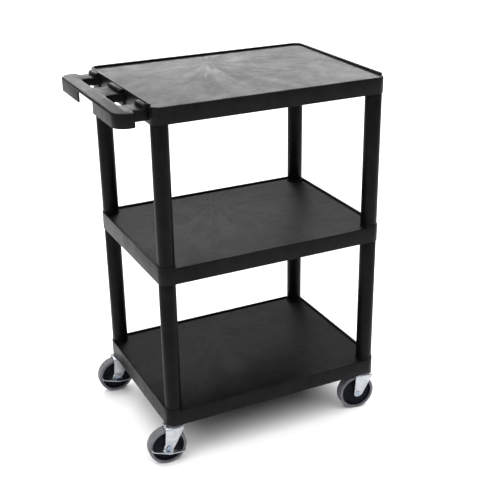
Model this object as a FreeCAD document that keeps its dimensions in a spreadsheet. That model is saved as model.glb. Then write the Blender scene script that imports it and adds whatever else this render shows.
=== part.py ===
"""Rolling utility cart: three moulded shelves on eight leg tubes and four swivel casters.

Frame: millimetres, +Z up, origin on the floor under the middle of the cart's outline.
The long side runs along X with the push handle at -X; the open shelf edge faces -Y.
"""
import FreeCAD, Part
import math
import os
import re

import Sketcher

DRIVING = [
    # shelves
    ("shelf_length", 610.0, "outside length of every shelf, along X"),
    ("shelf_depth", 444.0, "outside depth of every shelf, along Y"),
    ("shelf_corner", 23.0, "outside corner radius; the leg axes lie at its centre"),
    ("skirt_height", 41.0, "underside of the skirt to the top of the deck"),
    ("skirt_wall", 5.0, "thickness of the skirt"),
    ("deck_thickness", 6.0, "thickness of the deck"),
    ("front_bevel", 3.0, "bevel along the open front edge"),
    ("lip_height", 5.0, "retaining lip above the deck"),
    ("lip_width", 5.5, "thickness of the retaining lip"),
    ("shelf_pitch", 391.0, "height from one shelf to the next"),
    ("ground_clearance", 112.0, "floor to the underside of the bottom shelf"),
    ("rib_thickness", 3.5, "stiffening ribs under each deck"),
    ("rib_depth", 18.0, "how far the ribs hang below the deck"),
    # leg tubes and their sockets
    ("leg_diameter", 42.0, "outside diameter of a leg tube"),
    ("leg_wall", 3.0, "wall of a leg tube"),
    ("spigot_diameter", 33.0, "reduced end of a leg tube"),
    ("neck_length", 6.0, "inside taper between the tube's bore and the spigot's bore"),
    ("upper_socket_depth", 18.0, "socket in a shelf's top, for the leg that stands on it"),
    ("lower_socket_depth", 22.0, "socket in a shelf's underside"),
    ("socket_wall", 3.0, "wall around a socket under the deck"),
    ("socket_clearance", 0.1, "radial gap between a spigot and its socket"),
    ("spigot_end_gap", 1.0, "space left beyond the end of a spigot"),
    # push handle on the top shelf
    ("handle_reach", 83.0, "shelf side to the outside of the grip"),
    ("handle_half_width", 215.0, "half of the handle's width over its lobes"),
    ("handle_neck_half", 194.0, "half of the handle's width where it joins the shelf"),
    ("handle_neck_reach", 35.0, "length of the narrow neck"),
    ("handle_drop", 6.0, "deck down to the top of the handle"),
    ("handle_depth", 34.0, "depth of the handle's skirt"),
    ("handle_wall", 4.0, "wall of the handle's skirt"),
    ("handle_plate", 5.0, "thickness of the handle's top"),
    ("handle_lobe_radius", 32.0, "outer corner radius of the lobes"),
    ("handle_heel_radius", 9.0, "corner radius of the lobes beside the neck"),
    ("handle_root", 3.5, "how far the handle's shell runs into the shelf's skirt"),
    ("handle_step", 7.0, "how much shallower the skirt is at the neck"),
    ("slot_inner", 42.0, "middle of the handle to the near end of a finger slot"),
    ("slot_outer", 141.0, "middle of the handle to the far end of a finger slot"),
    ("slot_reach", 49.0, "shelf side to the grip side of a finger slot"),
    ("slot_corner", 12.0, "corner radius of a slot beside the grip"),
    ("slot_recess", 0.4, "how far a finger slot is let into the shelf's side"),
    ("slot_rim_wall", 3.0, "rim that stiffens each finger slot"),
    ("slot_rim_depth", 14.0, "depth of that rim"),
    ("grip_notch_half", 56.0, "half length of the cut in the grip's skirt"),
    ("grip_lip_depth", 6.5, "depth of the skirt that is left over the cut"),
    # swivel casters
    ("wheel_diameter", 100.0, "outside diameter of the tyre"),
    ("tyre_width", 27.0, "width of the tyre"),
    ("tyre_thickness", 8.0, "tread to hub"),
    ("tyre_edge", 5.0, "bevel at the shoulder of the tyre"),
    ("hub_rim_width", 23.0, "width of the hub's rim under the tyre"),
    ("hub_rim_thickness", 4.0, "radial thickness of the hub's rim"),
    ("hub_web", 10.0, "thickness of the hub's web"),
    ("hub_boss_diameter", 24.0, "boss around the axle"),
    ("hub_boss_length", 29.0, "length of that boss"),
    ("caster_trail", 22.0, "swivel axis to the axle, level"),
    ("fork_gap", 33.0, "inside width of the fork"),
    ("fork_sheet", 3.0, "sheet thickness of the fork"),
    ("fork_back", 28.0, "swivel axis to the trailing edge of the fork's top"),
    ("fork_front", 20.0, "swivel axis to the leading edge of a fork leg"),
    ("fork_nose", 22.0, "swivel axis to the front of the crown"),
    ("fork_foot", 10.3, "half width of a fork leg at the axle"),
    ("fork_nose_corner", 6.0, "corner radius at the front of the crown"),
    ("fork_shoulder", 5.0, "straight part of the leading edge below the crown"),
    ("crown_clearance", 2.5, "tread to the underside of the crown"),
    ("race_diameter", 46.0, "outside diameter of the swivel head"),
    ("race_thickness", 4.5, "height of the swivel head"),
    ("race_rim", 1.6, "thickness of the swivel head's down-turned rim"),
    ("race_rim_drop", 1.2, "how far that rim hangs below the head"),
    ("ball_diameter", 4.0, "bearing ball"),
    ("ball_circle", 34.0, "pitch diameter of the ring of balls"),
    ("ball_clearance", 0.05, "gap between the balls and the upper race"),
    ("stem_diameter", 11.0, "caster stem inside its sleeve"),
    ("stem_length", 19.0, "length of the stem above the swivel head"),
    ("kingpin_diameter", 10.0, "rivet that holds the fork to the swivel head"),
    ("kingpin_head", 16.0, "diameter of that rivet's head"),
    ("kingpin_head_height", 2.5, "thickness of that head"),
    ("swivel_end_play", 0.3, "gap between the crown and the rivet's head"),
    ("running_clearance", 0.05, "radial gap of every running fit"),
    ("axle_diameter", 8.0, "axle bolt"),
    ("sleeve_diameter", 12.0, "outside of the sleeve that the hub turns on"),
    ("axle_head_diameter", 13.0, "round head of the axle bolt"),
    ("axle_head_height", 3.0, "thickness of that head"),
    ("nut_flats", 13.0, "axle nut across its flats"),
    ("nut_height", 5.0, "thickness of the axle nut"),
    ("thread_stickout", 1.5, "bolt end beyond the nut"),
    # brake on the two casters at the handle end
    ("brake_sheet", 2.5, "sheet thickness of the brake pedal"),
    ("brake_tab_radius", 13.0, "half width of the pedal's tab around the axle"),
    ("brake_tab_corner", 11.7, "corner radius at the top of that tab"),
    ("brake_gap", 0.1, "gap between the pedal and the fork, and the fork and the shoe"),
    ("pedal_half_length", 42.5, "axle to either end of the pedal"),
    ("pedal_drop", 7.5, "axle to the top of the pedal plate"),
    ("pedal_end_width", 5.0, "width of the pedal plate at its ends"),
    ("pedal_middle_width", 16.0, "width of the pedal plate under the axle"),
    ("pedal_tip_height", 4.0, "up-turned ends of the pedal"),
    ("pedal_rest_tilt", 11.0, "tilt of the pedal when the brake is off, degrees"),
    ("shoe_radius", 11.0, "brake shoe washer around the axle sleeve"),
    ("shoe_thickness", 1.2, "thickness of that washer"),
    ("shoe_pin_circle", 7.8, "axle to each of the shoe's two pins"),
    ("shoe_pin_diameter", 3.0, "pins that pass through the fork leg"),
    # how the casters stand
    ("swivel_left_front", -5.0, "swivel angle of this caster at rest, degrees"),
    ("swivel_left_back", -1.5, "swivel angle of this caster at rest, degrees"),
    ("swivel_right_front", -8.0, "swivel angle of this caster at rest, degrees"),
    ("swivel_right_back", 4.0, "swivel angle of this caster at rest, degrees"),
]

# Sizes that follow from the driving ones.
DERIVED = [
    ("shelf_x", "handle_reach / 2"),
    ("leg_x", "shelf_length / 2 - shelf_corner"),
    ("leg_y", "shelf_depth / 2 - shelf_corner"),
    ("leg_visible", "shelf_pitch - skirt_height - lip_height"),
    ("pad_top", "skirt_height + lip_height"),
    ("leg_bore_radius", "leg_diameter / 2 - leg_wall"),
    ("spigot_bore_radius", "spigot_diameter / 2 - leg_wall"),
    ("socket_radius", "spigot_diameter / 2 + socket_clearance"),
    ("upper_spigot_length", "lower_socket_depth - spigot_end_gap"),
    ("lower_spigot_length", "upper_socket_depth - spigot_end_gap"),
    ("pocket_depth", "skirt_height - deck_thickness"),
    ("handle_bottom", "skirt_height - handle_drop - handle_depth"),
    ("handle_top", "skirt_height - handle_drop"),
    ("wheel_radius", "wheel_diameter / 2"),
    ("hub_radius", "wheel_diameter / 2 - tyre_thickness"),
    ("crown_bottom", "wheel_diameter + crown_clearance"),
    ("crown_top", "wheel_diameter + crown_clearance + fork_sheet"),
    ("fork_half", "fork_gap / 2 + fork_sheet"),
    ("race_bottom", "ground_clearance - race_thickness"),
    ("ball_z", "(wheel_diameter + crown_clearance + fork_sheet + ground_clearance - race_thickness) / 2"),
    ("tab_face", "fork_gap / 2 + fork_sheet + brake_gap"),
]

# Which way each corner lies from the middle of a shelf: along X, then along Y.
CORNERS = {
    "left_front": (-1, -1),
    "left_back": (-1, 1),
    "right_front": (1, -1),
    "right_back": (1, 1),
}
BRAKED = ("left_front", "left_back")
BALL_COUNT = 16
LONG_RIBS = 3
CROSS_RIBS = 5
OVERCUT = 1.0

doc = FreeCAD.newDocument("UtilityCart")
sub_parts = []


def make_sheets():
    """Put the driving sizes in one sheet and what follows from them in another."""
    sheet = doc.addObject("Spreadsheet::Sheet", "Sizes")
    for row, (alias, number, note) in enumerate(DRIVING, start=1):
        sheet.set(f"A{row}", note)
        sheet.set(f"B{row}", str(number))
        sheet.setAlias(f"B{row}", alias)
    doc.recompute()
    follow = doc.addObject("Spreadsheet::Sheet", "Places")
    for row, (alias, formula) in enumerate(DERIVED, start=1):
        follow.set(f"B{row}", "=" + bound(formula))
        follow.setAlias(f"B{row}", alias)
    doc.recompute()
    return sheet


SHEET_OF = {row[0]: "Sizes" for row in DRIVING}
SHEET_OF.update({row[0]: "Places" for row in DERIVED})


def bound(text):
    """Turn a formula in plain size names into an expression that reads the sheets."""
    def full_name(match):
        word = match.group()
        return f"{SHEET_OF[word]}.{word}" if word in SHEET_OF else word
    return re.sub(r"[a-z_]+", full_name, text)


def value(text):
    """Present value of a formula."""
    result = sizes.evalExpression(bound(text))
    return float(getattr(result, "Value", result))


# ---------------------------------------------------------------- sketches

def new_body(label):
    body = doc.addObject("PartDesign::Body", label)
    body.Label = label
    sub_parts.append(body)
    return body


def new_sketch(body, plane, height="0"):
    """Sketch on one of the body's own origin planes, raised along its normal."""
    sketch = body.newObject("Sketcher::SketchObject", "Sketch")
    planes = {item.Role: item for item in body.Origin.OriginFeatures}
    sketch.AttachmentSupport = [(planes[plane + "_Plane"], "")]
    sketch.MapMode = "FlatFace"
    sketch.setExpression("AttachmentOffset.Base.z", bound(height))
    return sketch


def pin_point(sketch, geometry, position, across, up):
    """Tie one point of a sketch to two formulas."""
    for kind, formula in (("DistanceX", across), ("DistanceY", up)):
        index = sketch.addConstraint(Sketcher.Constraint(kind, geometry, position, value(formula)))
        sketch.setExpression(f"Constraints[{index}]", bound(formula))


def add_circle(sketch, across, up, radius):
    centre = FreeCAD.Vector(value(across), value(up), 0)
    circle = sketch.addGeometry(Part.Circle(centre, FreeCAD.Vector(0, 0, 1), value(radius)), False)
    pin_point(sketch, circle, 3, across, up)
    index = sketch.addConstraint(Sketcher.Constraint("Radius", circle, value(radius)))
    sketch.setExpression(f"Constraints[{index}]", bound(radius))


def add_outline(sketch, corners):
    """Closed outline; each corner is (across, up) or (across, up, rounding radius)."""
    places = [FreeCAD.Vector(value(corner[0]), value(corner[1]), 0) for corner in corners]
    radii = [value(corner[2]) if len(corner) > 2 else 0.0 for corner in corners]
    count = len(corners)
    starts = []
    ends = []
    for here in range(count):
        to_last = (places[here - 1] - places[here]).normalize()
        to_next = (places[(here + 1) % count] - places[here]).normalize()
        half = to_last.getAngle(to_next) / 2
        setback = radii[here] / math.tan(half)
        ends.append(places[here] + to_last * setback)
        starts.append(places[here] + to_next * setback)
    lines = []
    for here in range(count):
        side = Part.LineSegment(starts[here], ends[(here + 1) % count])
        lines.append(sketch.addGeometry(side, False))
    for here, corner in enumerate(corners):
        before = lines[here - 1]
        after = lines[here]
        if radii[here] == 0.0:
            sketch.addConstraint(Sketcher.Constraint("Coincident", before, 2, after, 1))
            pin_point(sketch, after, 1, corner[0], corner[1])
            continue
        round_corner(sketch, corner, places[here], ends[here], starts[here], before, after)


def round_corner(sketch, corner, place, entry, leave, before, after):
    """Arc between two sides, tangent to both, whose sides meet at the named place."""
    middle_way = ((entry - place) + (leave - place)).normalize()
    radius = value(corner[2])
    half = (entry - place).getAngle(leave - place) / 2
    centre = place + middle_way * (radius / math.sin(half))
    turns_left = (place - entry).cross(leave - place).z > 0
    from_point, to_point = (entry, leave) if turns_left else (leave, entry)
    first, last = (1, 2) if turns_left else (2, 1)
    circle = Part.Circle(centre, FreeCAD.Vector(0, 0, 1), radius)
    angles = [math.atan2(end.y - centre.y, end.x - centre.x) for end in (from_point, to_point)]
    arc = sketch.addGeometry(Part.ArcOfCircle(circle, angles[0], angles[1]), False)
    sketch.addConstraint(Sketcher.Constraint("Tangent", before, 2, arc, first))
    sketch.addConstraint(Sketcher.Constraint("Tangent", after, 1, arc, last))
    point = sketch.addGeometry(Part.Point(place), True)
    pin_point(sketch, point, 1, corner[0], corner[1])
    sketch.addConstraint(Sketcher.Constraint("PointOnObject", point, 1, before))
    sketch.addConstraint(Sketcher.Constraint("PointOnObject", point, 1, after))
    index = sketch.addConstraint(Sketcher.Constraint("Radius", arc, radius))
    sketch.setExpression(f"Constraints[{index}]", bound(corner[2]))


def rectangle(left, right, low, high):
    return [(left, low), (right, low), (right, high), (left, high)]


# ---------------------------------------------------------------- features

def grow(body, sketch, length):
    """Pad a sketch along its plane's normal."""
    feature = body.newObject("PartDesign::Pad", "Pad")
    feature.Profile = sketch
    feature.setExpression("Length", bound(length))
    return settle(body, feature, 1)


def cut(body, sketch, length, along_normal):
    """Pocket a sketch, along its plane's normal or against it."""
    feature = body.newObject("PartDesign::Pocket", "Pocket")
    feature.Profile = sketch
    feature.setExpression("Length", bound(length))
    feature.Reversed = along_normal
    return settle(body, feature, -1)


def turn(body, sketch, kind="PartDesign::Revolution"):
    """Revolve a sketch round its own upright axis, as a solid or as a groove."""
    feature = body.newObject(kind, kind.split("::")[1])
    feature.Profile = sketch
    feature.ReferenceAxis = (sketch, ["V_Axis"])
    feature.Angle = 360.0
    return settle(body, feature, 1 if kind.endswith("Revolution") else -1)


def settle(body, feature, direction):
    """Recompute, and make sure that the feature added or removed material."""
    earlier = feature.BaseFeature.Shape.Volume if feature.BaseFeature else 0.0
    doc.recompute()
    change = feature.Shape.Volume - earlier
    if change * direction <= 0:
        raise RuntimeError(f"{body.Label}: {feature.Name} changed nothing")
    if not feature.Shape.isValid() or len(feature.Shape.Solids) != 1:
        raise RuntimeError(f"{body.Label}: {feature.Name} is not sound")
    return feature


def place(body, position, rotation=None):
    """Stand a body at a place given by formulas."""
    if rotation is not None:
        body.Placement = FreeCAD.Placement(FreeCAD.Vector(), rotation)
    for letter, formula in zip("xyz", position):
        body.setExpression(f"Placement.Base.{letter}", bound(formula))


# ---------------------------------------------------------------- shelves

def shelf(label, level, has_pads, has_handle):
    """One shelf, modelled with its underside at zero and raised to its level."""
    body = new_body(label)
    shelf_shell(body)
    shelf_ribs(body)
    leg_bosses(body)
    retaining_lip(body)
    if has_handle:
        push_handle(body)
    if has_pads:
        leg_pads(body)
    leg_sockets(body, "0", "lower_socket_depth", True)
    place(body, ("shelf_x", "0", level))


def shelf_shell(body):
    """Skirt and deck, open underneath, with a bevel along the open front edge."""
    outside = new_sketch(body, "XY")
    add_outline(outside, rounded_plan("0", "shelf_corner"))
    grow(body, outside, "skirt_height")
    inside = new_sketch(body, "XY")
    add_outline(inside, rounded_plan("skirt_wall", "shelf_corner - skirt_wall"))
    cut(body, inside, "pocket_depth", True)
    edge = new_sketch(body, "YZ", f"shelf_length / 2 + {OVERCUT}")
    front = "-shelf_depth / 2"
    add_outline(edge, [
        (f"{front} - {OVERCUT}", f"skirt_height - front_bevel - {OVERCUT}"),
        (f"{front} + front_bevel + {OVERCUT}", f"skirt_height + {OVERCUT}"),
        (f"{front} - {OVERCUT}", f"skirt_height + {OVERCUT}"),
    ])
    cut(body, edge, f"shelf_length + 2 * {OVERCUT}", False)


def rounded_plan(inset, radius):
    across = f"(shelf_length / 2 - ({inset}))"
    up = f"(shelf_depth / 2 - ({inset}))"
    return [
        (f"-{across}", f"-{up}", radius),
        (across, f"-{up}", radius),
        (across, up, radius),
        (f"-{across}", up, radius),
    ]


def shelf_ribs(body):
    """Ribs from wall to wall both ways, hanging from the deck."""
    end_x = "(shelf_length / 2 - skirt_wall / 2)"
    end_y = "(shelf_depth / 2 - skirt_wall / 2)"
    low = "pocket_depth - rib_depth"
    for number in range(LONG_RIBS):
        share = (number + 1) / (LONG_RIBS + 1) - 0.5
        middle = f"shelf_depth * {share}"
        rib = new_sketch(body, "XY", low)
        add_outline(rib, rectangle(f"-{end_x}", end_x,
                                   f"{middle} - rib_thickness / 2", f"{middle} + rib_thickness / 2"))
        grow(body, rib, "rib_depth")
    for number in range(CROSS_RIBS):
        share = (number + 1) / (CROSS_RIBS + 1) - 0.5
        middle = f"shelf_length * {share:.6f}"
        rib = new_sketch(body, "XY", low)
        add_outline(rib, rectangle(f"{middle} - rib_thickness / 2", f"{middle} + rib_thickness / 2",
                                   f"-{end_y}", end_y))
        grow(body, rib, "rib_depth")


def corner_circles(sketch, radius):
    for side_x, side_y in CORNERS.values():
        add_circle(sketch, f"{side_x} * leg_x", f"{side_y} * leg_y", radius)


def leg_bosses(body):
    """Tubular boss in each corner, from the skirt's underside to the deck."""
    bosses = new_sketch(body, "XY")
    corner_circles(bosses, "socket_radius + socket_wall")
    grow(body, bosses, "pocket_depth")


def retaining_lip(body):
    """Lip on the back and both short sides; it stops where the front corners start."""
    side = "shelf_length / 2"
    inner = "(shelf_length / 2 - lip_width)"
    back = "shelf_depth / 2"
    stop = "shelf_corner - shelf_depth / 2"
    lip = new_sketch(body, "XY", "skirt_height")
    add_outline(lip, [
        (f"-{side}", stop),
        (f"-{side}", back, "shelf_corner"),
        (side, back, "shelf_corner"),
        (side, stop),
        (inner, stop),
        (inner, f"{back} - lip_width", "shelf_corner - lip_width"),
        (f"-{inner}", f"{back} - lip_width", "shelf_corner - lip_width"),
        (f"-{inner}", stop),
    ])
    grow(body, lip, "lip_height")


def leg_pads(body):
    """Raised round pads that the legs above stand on, and the sockets in them."""
    pads = new_sketch(body, "XY", "skirt_height - front_bevel")
    corner_circles(pads, "shelf_corner")
    grow(body, pads, "lip_height + front_bevel")
    leg_sockets(body, "pad_top", "upper_socket_depth", False)


def leg_sockets(body, height, depth, upward):
    sockets = new_sketch(body, "XY", height)
    corner_circles(sockets, "socket_radius")
    cut(body, sockets, depth, upward)


def out(distance):
    """A distance from the shelf's side outwards along the handle."""
    return f"-shelf_length / 2 - ({distance})"


def push_handle(body):
    """Handle moulded onto the left side: hollow underneath, with two finger slots."""
    solid = new_sketch(body, "XY", "handle_bottom")
    add_outline(solid, handle_plan("0", "-handle_root"))
    grow(body, solid, "handle_depth")
    hollow = new_sketch(body, "XY", "handle_bottom")
    add_outline(hollow, handle_plan("handle_wall", "handle_wall"))
    cut(body, hollow, "handle_depth - handle_plate", True)
    for side in (-1, 1):
        rim = new_sketch(body, "XY", "handle_top - handle_plate - slot_rim_depth")
        add_outline(rim, slot_plan(side, "-skirt_wall / 2", "slot_rim_wall"))
        grow(body, rim, "slot_rim_depth + handle_plate / 2")
    for side in (-1, 1):
        slot = new_sketch(body, "XY", "handle_top")
        add_outline(slot, slot_plan(side, "-slot_recess", "0"))
        cut(body, slot, "handle_depth", False)
    notch = new_sketch(body, "XY", "handle_bottom")
    add_outline(notch, rectangle(out(f"handle_reach + {OVERCUT}"),
                                 out(f"handle_reach - handle_wall - {OVERCUT}"),
                                 "-grip_notch_half", "grip_notch_half"))
    cut(body, notch, "handle_depth - grip_lip_depth", True)
    step = new_sketch(body, "XY", "handle_bottom")
    add_outline(step, rectangle(out("handle_neck_reach + handle_wall / 2"), out("-slot_recess / 2"),
                                f"-handle_neck_half - {OVERCUT}", f"handle_neck_half + {OVERCUT}"))
    cut(body, step, "handle_step", True)


def handle_plan(inset, root):
    """Outline of the handle, drawn in by an inset, that starts at a distance from the side."""
    neck = f"(handle_neck_half - {inset})"
    half = f"(handle_half_width - {inset})"
    heel = out(f"handle_neck_reach + {inset}")
    grip = out(f"handle_reach - {inset}")
    lobe = f"handle_lobe_radius - {inset}"
    return [
        (out(root), neck),
        (heel, neck),
        (heel, half, f"handle_heel_radius - {inset}"),
        (grip, half, lobe),
        (grip, f"-{half}", lobe),
        (heel, f"-{half}", f"handle_heel_radius - {inset}"),
        (heel, f"-{neck}"),
        (out(root), f"-{neck}"),
    ]


def slot_plan(side, root, margin):
    """Outline of a finger slot with a margin round it, from a distance off the shelf's side."""
    near = f"{side} * (slot_inner - {margin})"
    far = f"{side} * (slot_outer + {margin})"
    grip = out(f"slot_reach + {margin}")
    radius = f"slot_corner + {margin}"
    return [(out(root), near), (out(root), far), (grip, far, radius), (grip, near, radius)]


# ---------------------------------------------------------------- legs and sleeves

def corner_place(corner, height):
    side_x, side_y = CORNERS[corner]
    return (f"shelf_x + {side_x} * leg_x", f"{side_y} * leg_y", height)


def leg_tube(label, corner, height):
    """Tube with a reduced spigot at each end, standing on a pad and under a skirt."""
    body = new_body(label)
    profile = new_sketch(body, "XZ")
    tube = "leg_diameter / 2"
    spigot = "spigot_diameter / 2"
    low = "-lower_spigot_length"
    high = "leg_visible + upper_spigot_length"
    add_outline(profile, [
        ("spigot_bore_radius", low),
        (spigot, low),
        (spigot, "0"),
        (tube, "0"),
        (tube, "leg_visible"),
        (spigot, "leg_visible"),
        (spigot, high),
        ("spigot_bore_radius", high),
        ("spigot_bore_radius", "leg_visible - leg_wall"),
        ("leg_bore_radius", "leg_visible - leg_wall - neck_length"),
        ("leg_bore_radius", "leg_wall + neck_length"),
        ("spigot_bore_radius", "leg_wall"),
    ])
    turn(body, profile)
    place(body, corner_place(corner, height))


def stem_sleeve(label, corner):
    """Plastic sleeve pressed into a bottom corner, bored for the caster's stem."""
    body = new_body(label)
    profile = new_sketch(body, "XZ")
    bore = "stem_diameter / 2 + running_clearance"
    add_outline(profile, rectangle(bore, "spigot_diameter / 2", "0", "upper_spigot_length"))
    turn(body, profile)
    place(body, corner_place(corner, "ground_clearance"))


# ---------------------------------------------------------------- casters

def swivel_rotation(corner):
    return FreeCAD.Rotation(FreeCAD.Vector(0, 0, 1), value(f"swivel_{corner}"))


def place_on_swivel(body, corner):
    place(body, corner_place(corner, "0"), swivel_rotation(corner))


def place_on_axle(body, corner, tilt=0.0):
    """Stand a body that is modelled about Y on the axle of its caster."""
    across, up, _ = corner_place(corner, "0")
    angle = f"swivel_{corner} * 1 deg"
    position = (f"{across} - caster_trail * cos({angle})",
                f"{up} - caster_trail * sin({angle})",
                "wheel_radius")
    rock = FreeCAD.Rotation(FreeCAD.Vector(0, 1, 0), tilt)
    place(body, position, swivel_rotation(corner).multiply(rock))


def ball_groove(body, radius):
    groove = new_sketch(body, "XZ")
    add_circle(groove, "ball_circle / 2", "ball_z", radius)
    turn(body, groove, "PartDesign::Groove")


def caster_stem(corner):
    """Stem, swivel head with its down-turned rim, and the rivet that holds the fork."""
    body = new_body(f"caster_stem_{corner}")
    profile = new_sketch(body, "XZ")
    head_top = "crown_bottom - swivel_end_play"
    rim_inside = "race_diameter / 2 - race_rim"
    rim_bottom = "race_bottom - race_rim_drop"
    add_outline(profile, [
        ("0", f"{head_top} - kingpin_head_height"),
        ("kingpin_head / 2", f"{head_top} - kingpin_head_height"),
        ("kingpin_head / 2", head_top),
        ("kingpin_diameter / 2", head_top),
        ("kingpin_diameter / 2", "race_bottom"),
        (rim_inside, "race_bottom"),
        (rim_inside, rim_bottom),
        ("race_diameter / 2", rim_bottom),
        ("race_diameter / 2", "ground_clearance"),
        ("stem_diameter / 2", "ground_clearance"),
        ("stem_diameter / 2", "ground_clearance + stem_length"),
        ("0", "ground_clearance + stem_length"),
    ])
    turn(body, profile)
    ball_groove(body, "ball_diameter / 2 + ball_clearance")
    place(body, corner_place(corner, "0"))


def bearing_balls(corner):
    """Ring of balls between the fork's crown and the swivel head."""
    balls = []
    for number in range(BALL_COUNT):
        ball = doc.addObject("Part::Sphere", f"Ball_{corner}_{number}")
        ball.setExpression("Radius", bound("ball_diameter / 2"))
        angle = f"{number} * 360 deg / {BALL_COUNT}"
        place(ball, (f"ball_circle / 2 * cos({angle})", f"ball_circle / 2 * sin({angle})", "ball_z"))
        balls.append(ball)
    ring = doc.addObject("Part::MultiFuse", f"bearing_balls_{corner}")
    ring.Shapes = balls
    ring.Label = f"bearing_balls_{corner}"
    sub_parts.append(ring)
    place_on_swivel(ring, corner)


def caster_fork(corner):
    """Pressed fork: a crown with the lower ball race and two legs down to the axle."""
    body = new_body(f"caster_fork_{corner}")
    crown = new_sketch(body, "XY", "crown_bottom")
    add_outline(crown, [
        ("-fork_back", "-fork_half"),
        ("fork_nose", "-fork_half", "fork_nose_corner"),
        ("fork_nose", "fork_half", "fork_nose_corner"),
        ("-fork_back", "fork_half"),
    ])
    grow(body, crown, "fork_sheet")
    for offset in ("fork_gap / 2", "-fork_half"):
        leg = new_sketch(body, "XZ", offset)
        foot = "wheel_radius - fork_foot"
        add_outline(leg, [
            ("-fork_back", "crown_top"),
            ("-caster_trail - fork_foot", foot, "fork_foot"),
            ("-caster_trail + fork_foot", foot, "fork_foot"),
            ("fork_front", "crown_top - fork_shoulder"),
            ("fork_front", "crown_top"),
        ])
        grow(body, leg, "fork_sheet")
    rivet_hole = new_sketch(body, "XY", "crown_top")
    add_circle(rivet_hole, "0", "0", "kingpin_diameter / 2 + running_clearance")
    cut(body, rivet_hole, "fork_sheet", False)
    ball_groove(body, "ball_diameter / 2")
    axle_hole = new_sketch(body, "XZ", f"fork_half + {OVERCUT}")
    add_circle(axle_hole, "-caster_trail", "wheel_radius", "axle_diameter / 2 + running_clearance")
    cut(body, axle_hole, f"2 * fork_half + 2 * {OVERCUT}", False)
    if corner in BRAKED:
        pin_holes = new_sketch(body, "XZ", f"fork_half + {OVERCUT}")
        for side in (-1, 1):
            add_circle(pin_holes, f"{side} * shoe_pin_circle - caster_trail", "wheel_radius",
                       "shoe_pin_diameter / 2 + running_clearance")
        cut(body, pin_holes, f"fork_sheet + 2 * {OVERCUT}", False)
    place_on_swivel(body, corner)


def axle_parts(corner):
    """Bolt, nut and the sleeve between the fork legs, modelled about Y."""
    head_seat = "-(tab_face + brake_sheet + brake_gap)" if corner in BRAKED else "-fork_half"
    bolt = new_body(f"axle_bolt_{corner}")
    profile = new_sketch(bolt, "XY")
    shank = "axle_diameter / 2"
    end = "fork_half + nut_height + thread_stickout"
    add_outline(profile, [
        ("0", f"{head_seat} - axle_head_height"),
        ("axle_head_diameter / 2", f"{head_seat} - axle_head_height"),
        ("axle_head_diameter / 2", head_seat),
        (shank, head_seat),
        (shank, end),
        ("0", end),
    ])
    turn(bolt, profile)
    place_on_axle(bolt, corner)

    nut = new_body(f"axle_nut_{corner}")
    hexagon = new_sketch(nut, "XZ", "-fork_half - nut_height")
    reach = "nut_flats / sqrt(3)"
    add_outline(hexagon, [(f"{reach} * cos({turned} deg)", f"{reach} * sin({turned} deg)")
                          for turned in range(0, 360, 60)])
    grow(nut, hexagon, "nut_height")
    bore = new_sketch(nut, "XZ", "-fork_half")
    add_circle(bore, "0", "0", "axle_diameter / 2 + running_clearance")
    cut(nut, bore, "nut_height", False)
    place_on_axle(nut, corner)

    sleeve = new_body(f"axle_sleeve_{corner}")
    wall = new_sketch(sleeve, "XY")
    add_outline(wall, rectangle("axle_diameter / 2 + running_clearance", "sleeve_diameter / 2",
                                "-fork_gap / 2", "fork_gap / 2"))
    turn(sleeve, wall)
    place_on_axle(sleeve, corner)


def wheel(corner):
    """Hub with a boss, a web and a rim, and the tyre that is stretched over the rim."""
    hub = new_body(f"wheel_hub_{corner}")
    profile = new_sketch(hub, "XY")
    bore = "sleeve_diameter / 2 + running_clearance"
    boss = "hub_boss_diameter / 2"
    rim = "hub_radius - hub_rim_thickness"
    add_outline(profile, [
        (bore, "-hub_boss_length / 2"),
        (boss, "-hub_boss_length / 2"),
        (boss, "-hub_web / 2"),
        (rim, "-hub_web / 2"),
        (rim, "-hub_rim_width / 2"),
        ("hub_radius", "-hub_rim_width / 2"),
        ("hub_radius", "hub_rim_width / 2"),
        (rim, "hub_rim_width / 2"),
        (rim, "hub_web / 2"),
        (boss, "hub_web / 2"),
        (boss, "hub_boss_length / 2"),
        (bore, "hub_boss_length / 2"),
    ])
    turn(hub, profile)
    place_on_axle(hub, corner)

    tyre = new_body(f"tyre_{corner}")
    section = new_sketch(tyre, "XY")
    add_outline(section, [
        ("hub_radius", "-tyre_width / 2"),
        ("wheel_radius - tyre_edge / 2", "-tyre_width / 2"),
        ("wheel_radius", "-tyre_width / 2 + tyre_edge"),
        ("wheel_radius", "tyre_width / 2 - tyre_edge"),
        ("wheel_radius - tyre_edge / 2", "tyre_width / 2"),
        ("hub_radius", "tyre_width / 2"),
    ])
    turn(tyre, section)
    place_on_axle(tyre, corner)


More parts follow.
